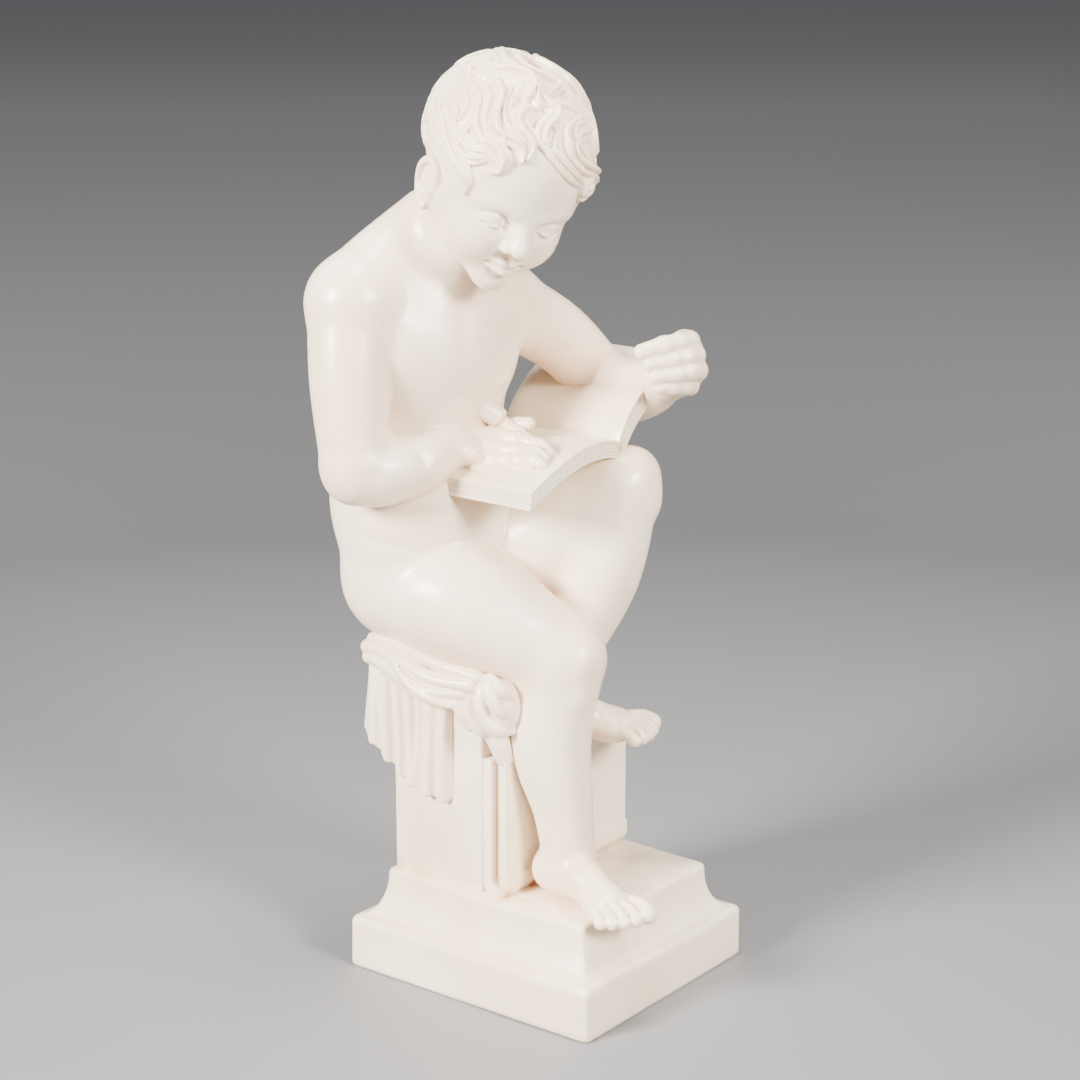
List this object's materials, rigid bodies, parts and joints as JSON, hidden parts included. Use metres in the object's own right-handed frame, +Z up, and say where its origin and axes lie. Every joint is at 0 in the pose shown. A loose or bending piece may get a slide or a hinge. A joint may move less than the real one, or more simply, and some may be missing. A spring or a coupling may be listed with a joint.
{
  "type": "statuette",
  "caption": "Seated boy bent over an open book on his lap, writing with a quill, on a draped block with a closed tome under his foot, over a moulded rectangular plinth.",
  "frame": {"origin": "middle of the plinth's flat underside", "axes": "+Z up; the boy looks and the plinth's front faces -Y; his right hand is on the -X side"},
  "size_m": [0.1254, 0.1261, 0.3234],
  "materials": {
    "alabaster": "satin ivory cast stone, hand-polished"
  },
  "bodies": {
    "root": {"statue": "alabaster"}
  },
  "joints": []
}
